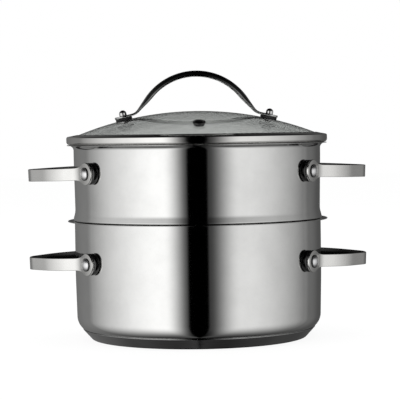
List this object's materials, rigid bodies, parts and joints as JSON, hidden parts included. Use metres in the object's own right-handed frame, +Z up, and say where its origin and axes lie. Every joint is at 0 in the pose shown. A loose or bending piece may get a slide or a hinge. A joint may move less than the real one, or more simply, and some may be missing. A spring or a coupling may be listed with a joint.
{
  "type": "steamer pot",
  "caption": "Two-tier stovetop steamer: a pot, a nested insert with a perforated floor, strap side handles and a domed glass lid with an arched handle.",
  "frame": {"origin": "centre of the base's underside, where the pot stands", "axes": "+Z up along the pot's axis, side handles and the lid's arch along X, the lid's vent towards -Y, the front"},
  "size_m": [0.3314, 0.2558, 0.2619],
  "materials": {
    "pot_steel": "mirror-polished stainless steel",
    "base_steel": "mirror-polished stainless steel",
    "aluminium_core": "plain rolled aluminium",
    "steamer_steel": "mirror-polished stainless steel",
    "smoked_glass": "clear tempered glass with a faint grey-green tint",
    "band_steel": "mirror-polished stainless steel",
    "arch_steel": "mirror-polished stainless steel",
    "fastener_steel": "plain stainless steel",
    "nut_steel": "polished stainless steel",
    "silicone": "matt black silicone",
    "eyelet_steel": "polished stainless steel",
    "handle_steel": "mirror-polished stainless steel",
    "standoff_steel": "polished stainless steel",
    "rivet_steel": "polished stainless steel"
  },
  "bodies": {
    "pot": {"pot_shell": "pot_steel", "base_cap": "base_steel", "base_core": "aluminium_core", "pot_handle_left": "handle_steel", "pot_standoffs_left": "standoff_steel", "pot_handle_right": "handle_steel", "pot_standoffs_right": "standoff_steel", "pot_rivets": "rivet_steel", "pot_rivet_washers": "rivet_steel"},
    "steamer": {"steamer_shell": "steamer_steel", "steamer_handle_left": "handle_steel", "steamer_standoffs_left": "standoff_steel", "steamer_handle_right": "handle_steel", "steamer_standoffs_right": "standoff_steel", "steamer_rivets": "rivet_steel", "steamer_rivet_washers": "rivet_steel"},
    "lid": {"lid_glass": "smoked_glass", "lid_band": "band_steel", "lid_handle": "arch_steel", "lid_bolts": "fastener_steel", "lid_nuts": "nut_steel", "lid_outer_washers": "silicone", "lid_inner_washers": "silicone", "lid_bolt_washers": "fastener_steel", "vent_eyelet": "eyelet_steel"}
  },
  "joints": [
    {"name": "insert_lift", "type": "slide", "parent": "pot", "child": "steamer", "axis": [0, 0, 1], "range_m": [0, 0.12]},
    {"name": "lid_lift", "type": "slide", "parent": "steamer", "child": "lid", "axis": [0, 0, 1], "range_m": [0, 0.1]}
  ]
}
